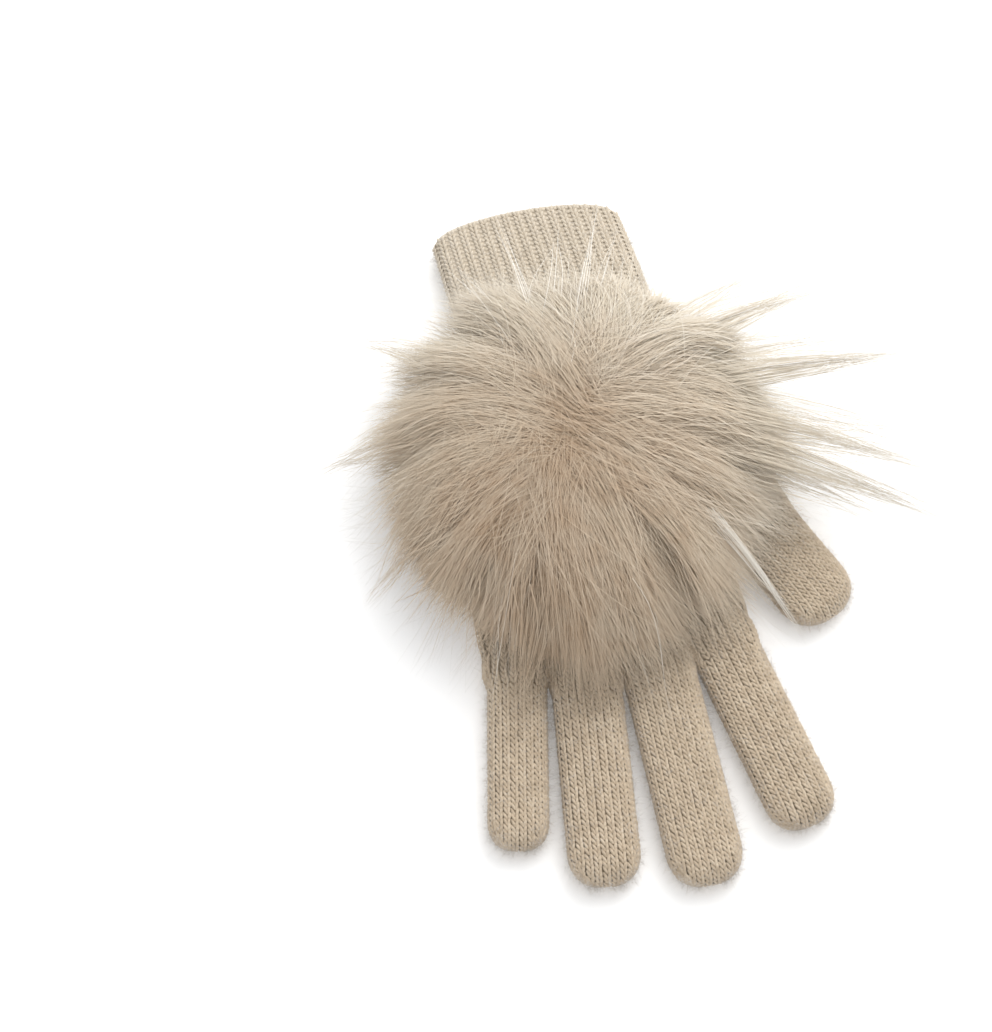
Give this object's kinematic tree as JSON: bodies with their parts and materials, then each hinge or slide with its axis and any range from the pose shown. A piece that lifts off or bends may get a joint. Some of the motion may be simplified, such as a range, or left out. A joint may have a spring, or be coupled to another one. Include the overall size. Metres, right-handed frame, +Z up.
{
  "type": "pom-pom glove",
  "caption": "Knitted right-hand glove with a ribbed cuff and a large long-haired fur pompom on its back, lying palm down.",
  "frame": {"origin": "middle of the palm's flat underside, below the pompom, on the surface that the glove lies on", "axes": "+Z up out of the back of the hand, +Y towards the cuff's mouth, -Y towards the fingertips, +X towards the thumb"},
  "size_m": [0.19, 0.2296, 0.0498],
  "materials": {
    "knit": "matte",
    "rib_knit": "matte",
    "fur": "soft"
  },
  "bodies": {
    "root": {"cuff": "rib_knit", "hand": "knit", "thumb": "knit", "index_finger": "knit", "middle_finger": "knit", "ring_finger": "knit", "little_finger": "knit", "fur_pompom": "fur"}
  },
  "joints": []
}
